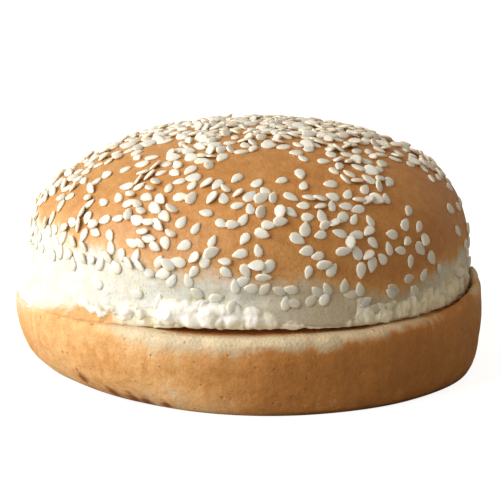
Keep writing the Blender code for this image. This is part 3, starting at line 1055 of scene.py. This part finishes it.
def baked_colour_group():
    """Pale to golden to brown crust by how baked it is, mottled at two sizes and streaked downwards."""
    group = new_group(
        "Baked Colour",
        (
            ("Bake", 1.0),
            ("Pale", (0.8, 0.7, 0.5, 1)),
            ("Golden", (0.7, 0.4, 0.15, 1)),
            ("Brown", (0.4, 0.2, 0.06, 1)),
            ("Mottle", 0.3),
            ("Streaks", 0.0),
        ),
        (("Colour", "NodeSocketColor"), ("Grain", "NodeSocketFloat")),
    )
    tree = Tree(group)
    inputs = tree.nodes.new("NodeGroupInput").outputs
    where = tree.place()
    drawn_down = tree.add("ShaderNodeMapping", Vector=where, Scale=(1, 1, 0.14)).outputs["Vector"]
    broad = tree.math("SUBTRACT", tree.noise(where, 80.0, 2.0), 0.5)
    fine = tree.math("SUBTRACT", tree.noise(where, 430.0, 4.0, 0.65), 0.5)
    streaks = tree.math("SUBTRACT", tree.noise(drawn_down, 520.0, 2.0), 0.5)
    grain = tree.noise(where, 2100.0, 3.0, 0.6)
    swing = tree.math("ADD", broad, tree.math("MULTIPLY", fine, 1.5))
    swing = tree.math("ADD", swing, tree.math("MULTIPLY", streaks, inputs["Streaks"]))
    reach = tree.math("MULTIPLY", inputs["Mottle"], tree.span(inputs["Bake"], 0.0, 0.7, 0.3, 1.0))
    baked = tree.math("ADD", inputs["Bake"], tree.math("MULTIPLY", swing, reach))
    first = tree.blend(tree.span(baked, 0.0, 0.6), inputs["Pale"], inputs["Golden"])
    colour = tree.blend(tree.span(baked, 0.6, 1.25), first, inputs["Brown"])
    dark = tree.blend(tree.span(grain, 0.45, 0.75, 0.0, 0.28), colour, (0.18, 0.07, 0.02, 1))
    outputs = tree.nodes.new("NodeGroupOutput").inputs
    tree.feed(outputs["Colour"], dark)
    relief = tree.math("ADD", tree.math("MULTIPLY", fine, 1.2), tree.math("MULTIPLY", grain, 0.35))
    tree.feed(outputs["Grain"], relief)
    return group


def dots_group():
    """Small round dots in some of the cells of an uneven net, such as pores in crust or specks of flour."""
    group = new_group(
        "Scattered Dots",
        (("Scale", 300.0), ("Size", 0.1), ("Missing", 0.5)),
        (("Dots", "NodeSocketFloat"),),
    )
    tree = Tree(group)
    inputs = tree.nodes.new("NodeGroupInput").outputs
    net = tree.add("ShaderNodeTexVoronoi", Vector=tree.place(), Scale=inputs["Scale"])
    chance = tree.add("ShaderNodeSeparateColor", Color=net.outputs["Color"])
    present = tree.math("GREATER_THAN", chance.outputs["Red"], inputs["Missing"])
    size = tree.math("MULTIPLY", inputs["Size"], tree.math("ADD", chance.outputs["Green"], 0.4))
    inside = tree.math("SUBTRACT", 1.0, tree.math("DIVIDE", net.outputs["Distance"], size))
    dots = tree.math("MULTIPLY", present, tree.span(inside, 0.0, 0.6))
    tree.feed(tree.nodes.new("NodeGroupOutput").inputs["Dots"], dots)
    return group


def crumb_group():
    """White crumb with open pores: its colour, darkened towards the shade colour in clefts as painted shade,
    and the height of its fine relief.
    """
    group = new_group(
        "Open Crumb",
        (("Cleft", 0.0), ("Light", (0.93, 0.9, 0.8, 1)), ("Deep", (0.7, 0.6, 0.36, 1))),
        (("Colour", "NodeSocketColor"), ("Pores", "NodeSocketFloat")),
    )
    tree = Tree(group)
    inputs = tree.nodes.new("NodeGroupInput").outputs
    where = tree.place()
    soft = tree.noise(where, 320.0, 4.0, 0.6)
    holes = tree.cells(where, 1300.0)
    # Painted shade: clefts darken towards the shade colour
    sunk = tree.math("MULTIPLY", inputs["Cleft"], 0.75)
    shade = tree.math("ADD", sunk, tree.span(soft, 0.4, 0.8, 0.0, 0.35))
    outputs = tree.nodes.new("NodeGroupOutput").inputs
    tree.feed(outputs["Colour"], tree.blend(shade, inputs["Light"], inputs["Deep"]))
    pores = tree.math("ADD", tree.math("MULTIPLY", soft, 0.7), tree.math("MULTIPLY", holes, 0.5))
    tree.feed(outputs["Pores"], pores)
    return group


def new_material(name, roughness, specular):
    made = bpy.data.materials.new(name)
    made.use_nodes = True
    shader = made.node_tree.nodes["Principled BSDF"]
    shader.inputs["Roughness"].default_value = roughness
    shader.inputs["Specular IOR Level"].default_value = specular
    return made, shader, Tree(made.node_tree)


def soften(shader, weight, reach, depths=(1.0, 0.6, 0.3)):
    """Lets light into the surface, to a depth for each of red, green and blue."""
    shader.inputs["Subsurface Weight"].default_value = weight
    shader.inputs["Subsurface Radius"].default_value = depths
    shader.inputs["Subsurface Scale"].default_value = reach


def bump(tree, shader, height, distance, strength):
    node = tree.add("ShaderNodeBump", Height=height, Distance=distance, Strength=strength)
    tree.feed(shader.inputs["Normal"], node.outputs["Normal"])


def crown_look(baked, crumb, dots):
    look, shader, tree = new_material("egg washed crust", 0.46, 0.35)
    paler_and_lit = tree.share("paler_and_lit")
    yellowed = tree.span(tree.noise(tree.place(), 230.0, 3.0), 0.45, 0.7, 0.0, 0.7)
    white = tree.blend(yellowed, WHITE_FILM, YELLOW_FILM)
    crust = tree.group(
        baked,
        Bake=tree.share("bake"),
        Pale=tree.blend(tree.share("film"), DULL_FILM, white),
        # Lighter golden and brown on the lit left: partly paler crust, partly painted light
        Golden=tree.blend(paler_and_lit, (0.61, 0.295, 0.08, 1), (0.63, 0.36, 0.145, 1)),
        Brown=tree.blend(paler_and_lit, (0.47, 0.185, 0.042, 1), (0.48, 0.225, 0.065, 1)),
        Mottle=0.8,
    )
    specks = tree.group(dots, Scale=210.0, Size=0.09, Missing=0.55).outputs["Dots"]
    pores = tree.group(dots, Scale=400.0, Size=0.10, Missing=0.6).outputs["Dots"]
    pored = tree.blend(tree.math("MULTIPLY", pores, 0.3), crust.outputs["Colour"], (0.22, 0.08, 0.02, 1))
    specked = tree.blend(tree.math("MULTIPLY", specks, 0.6), pored, (0.76, 0.62, 0.40, 1))
    inside = tree.group(crumb, Cleft=tree.share("cleft_shade"), Light=SKIN_LIGHT, Deep=SKIN_CLEFT_SHADE)
    torn = tree.share("torn")
    outside = tree.blend(torn, specked, inside.outputs["Colour"])
    # The cut underside: toasted brown, and partly painted shade in the front slit
    toasted_and_slit_shade = tree.blend(tree.noise(tree.place(), 260.0), SLIT_SHADE_TOASTED_DARK, SLIT_SHADE_TOASTED_LIGHT)
    tree.feed(shader.inputs["Base Color"], tree.blend(tree.share("cut"), outside, toasted_and_slit_shade))
    tree.feed(shader.inputs["Roughness"], tree.span(tree.share("bake"), 0.2, 1.0, 0.8, 0.42))
    raised = tree.math("ADD", crust.outputs["Grain"], tree.math("SUBTRACT", specks, pores))
    bump(tree, shader, tree.blend(torn, raised, inside.outputs["Pores"]), CRUST_BUMP, 0.6)
    soften(shader, 0.12, 2 * MM)
    return look


def heel_look(baked, crumb, dots):
    look, shader, tree = new_material("heel crust", 0.6, 0.25)
    where = tree.place()
    coarse = tree.group(dots, Scale=260.0, Size=0.12, Missing=0.55).outputs["Dots"]
    small = tree.group(dots, Scale=560.0, Size=0.16, Missing=0.5).outputs["Dots"]
    pits = tree.math("MAXIMUM", coarse, tree.math("MULTIPLY", small, 0.7))
    rim = tree.share("rim")
    paler_and_lit = tree.share("paler_and_lit")
    above_floor = tree.add("ShaderNodeSeparateXYZ", Vector=where).outputs["Z"]
    off_belt = tree.math("ABSOLUTE", tree.math("SUBTRACT", above_floor, BELT_HEIGHT))
    belt = tree.span(off_belt, 0.0, BELT_HALF, 0.24, 0.0)
    # Less baked on the lit left: partly paler crust, partly painted light
    baked_side = tree.math("ADD", tree.span(paler_and_lit, 0.1, 0.8, 0.88, 0.66), belt)
    crust = tree.group(
        baked,
        Bake=tree.math("SUBTRACT", baked_side, tree.math("MULTIPLY", rim, 0.9)),
        Pale=(0.66, 0.55, 0.37, 1),
        Golden=tree.blend(paler_and_lit, (0.52, 0.22, 0.055, 1), (0.74, 0.43, 0.18, 1)),
        Brown=tree.blend(paler_and_lit, (0.40, 0.17, 0.042, 1), (0.58, 0.27, 0.075, 1)),
        Mottle=0.95,
        Streaks=0.7,
    )
    inside = tree.group(crumb, Cleft=0.5, Light=(0.62, 0.54, 0.38, 1), Deep=(0.45, 0.29, 0.13, 1))
    pitted = tree.blend(tree.math("MULTIPLY", pits, 0.5), crust.outputs["Colour"], (0.30, 0.11, 0.03, 1))
    browned = tree.blend(tree.math("MULTIPLY", tree.share("foot"), 0.7), pitted, (0.17, 0.065, 0.025, 1))
    scorched_too = tree.blend(tree.share("scorch"), browned, (0.26, 0.075, 0.022, 1))
    # The cut top face: toasted brown, and partly painted shade in the front slit
    toasted_and_slit_shade = tree.blend(tree.noise(where, 260.0), SLIT_SHADE_TOASTED_DARK, SLIT_SHADE_TOASTED_LIGHT)
    tree.feed(shader.inputs["Base Color"], tree.blend(tree.share("cut"), scorched_too, toasted_and_slit_shade))
    raised = tree.math("SUBTRACT", tree.blend(rim, crust.outputs["Grain"], inside.outputs["Pores"]), pits)
    bump(tree, shader, raised, CRUST_BUMP, 0.6)
    soften(shader, 0.1, 2 * MM)
    return look


def crumb_look(crumb):
    look, shader, tree = new_material("torn white crumb", 0.85, 0.15)
    inside = tree.group(crumb, Cleft=tree.share("cleft_shade"), Light=CRUMB_LIGHT, Deep=CRUMB_CLEFT_SHADE)
    tree.feed(shader.inputs["Base Color"], inside.outputs["Colour"])
    bump(tree, shader, inside.outputs["Pores"], CRUMB_BUMP, 0.5)
    soften(shader, 0.6, 3 * MM, (1.0, 0.95, 0.85))
    return look


def seed_look():
    look, shader, tree = new_material("hulled sesame", 0.42, 0.4)
    where = tree.place()
    rim = tree.share("seed_rim")
    tone = tree.share("tone")
    face = tree.blend(tone, (0.64, 0.65, 0.62, 1), (0.76, 0.75, 0.70, 1))
    edge = tree.blend(tone, (0.78, 0.70, 0.57, 1), (0.86, 0.80, 0.68, 1))
    colour = tree.blend(rim, face, edge)
    streaks = tree.noise(where, 1500.0, 3.0)
    toned = tree.blend(tree.span(streaks, 0.5, 0.8, 0.0, 0.2), colour, (0.66, 0.54, 0.36, 1))
    skin = tree.blend(tree.share("film"), DULL_FILM, WHITE_FILM)
    veiled = tree.blend(tree.math("MULTIPLY", tree.share("veil"), 0.85), toned, skin)
    tree.feed(shader.inputs["Base Color"], veiled)
    bump(tree, shader, streaks, SEED_BUMP, 0.4)
    soften(shader, 0.25, 1.5 * MM)
    return look


# Stage

def make_floor():
    shape = bmesh.new()
    bmesh.ops.create_grid(shape, x_segments=1, y_segments=1, size=FLOOR_SIZE / 2)
    mesh = bpy.data.meshes.new("pale_floor")
    shape.to_mesh(mesh)
    shape.free()
    look, shader, tree = new_material("pale floor", 0.9, 0.1)
    shader.inputs["Base Color"].default_value = FLOOR_COLOUR
    glow = tree.add("ShaderNodeEmission", Color=(1, 1, 1, 1), Strength=FLOOR_GLOW)
    both = tree.add("ShaderNodeAddShader")
    mixed = tree.add("ShaderNodeMixShader")
    tree.links.new(shader.outputs[0], both.inputs[0])
    tree.links.new(glow.outputs[0], both.inputs[1])
    tree.feed(mixed.inputs[0], tree.nodes.new("ShaderNodeLightPath").outputs["Is Camera Ray"])
    tree.links.new(shader.outputs[0], mixed.inputs[1])
    tree.links.new(both.outputs[0], mixed.inputs[2])
    tree.links.new(mixed.outputs[0], tree.nodes["Material Output"].inputs["Surface"])
    mesh.materials.append(look)
    floor = bpy.data.objects.new("pale_floor", mesh)
    bpy.context.scene.collection.objects.link(floor)
    floor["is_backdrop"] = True


def make_world():
    world = bpy.data.worlds.new("white studio")
    world.use_nodes = True
    bpy.context.scene.world = world
    tree = Tree(world.node_tree)
    seen = tree.nodes["Background"]
    by_camera = tree.nodes.new("ShaderNodeLightPath").outputs["Is Camera Ray"]
    tree.feed(seen.inputs["Color"], tree.blend(by_camera, AMBIENT_COLOUR, (1, 1, 1, 1)))
    tree.feed(seen.inputs["Strength"], tree.span(by_camera, 0.0, 1.0, AMBIENT_STRENGTH, 1.0))


def add_window():
    """A large square soft light that shines on the bun from low at the left."""
    light = bpy.data.lights.new("window", "AREA")
    light.shape = "SQUARE"
    light.size = WINDOW_SIZE
    light.energy = WINDOW_POWER
    light.color = WINDOW_COLOUR
    away = heading(WINDOW_AZIMUTH, math.sin(math.radians(WINDOW_ELEVATION)))
    lamp = bpy.data.objects.new("window", light)
    lamp.location = CAMERA_AIM + away * WINDOW_DISTANCE
    lamp.rotation_euler = away.to_track_quat("Z", "Y").to_euler()
    bpy.context.scene.collection.objects.link(lamp)


def make_camera():
    camera = bpy.data.cameras.new("view")
    camera.lens = CAMERA_LENS
    camera.sensor_width = CAMERA_SENSOR
    camera.clip_start = 0.01
    eye = bpy.data.objects.new("view", camera)
    tilt = math.radians(CAMERA_ELEVATION)
    away = Vector((0, -math.cos(tilt), math.sin(tilt)))
    eye.location = CAMERA_AIM + away * CAMERA_DISTANCE
    eye.rotation_euler = away.to_track_quat("Z", "Y").to_euler()
    bpy.context.scene.collection.objects.link(eye)
    bpy.context.scene.camera = eye


def write_sizes():
    boxes = {"solids": SOLIDS_BOX, "looks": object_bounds()}
    plain = {name: [[float(value) for value in corner] for corner in box] for name, box in boxes.items()}


def main():
    # Without a seed, noise_vector gives another pattern in every run
    noise.seed_set(CRUMB_DRAW)
    make_camera()
    bpy.context.scene.view_settings.view_transform = "Standard"
    baked = baked_colour_group()
    crumb = crumb_group()
    dots = dots_group()
    crown = make_crown(crown_look(baked, crumb, dots))
    make_heel(heel_look(baked, crumb, dots))
    skin = BVHTree.FromPolygons(
        [vertex.co for vertex in crown.data.vertices],
        [face.vertices for face in crown.data.polygons],
    )
    make_crumb(skin, crumb_look(crumb))
    make_seeds(skin, seed_look())
    make_floor()
    make_world()
    add_window()
    write_sizes()


main()
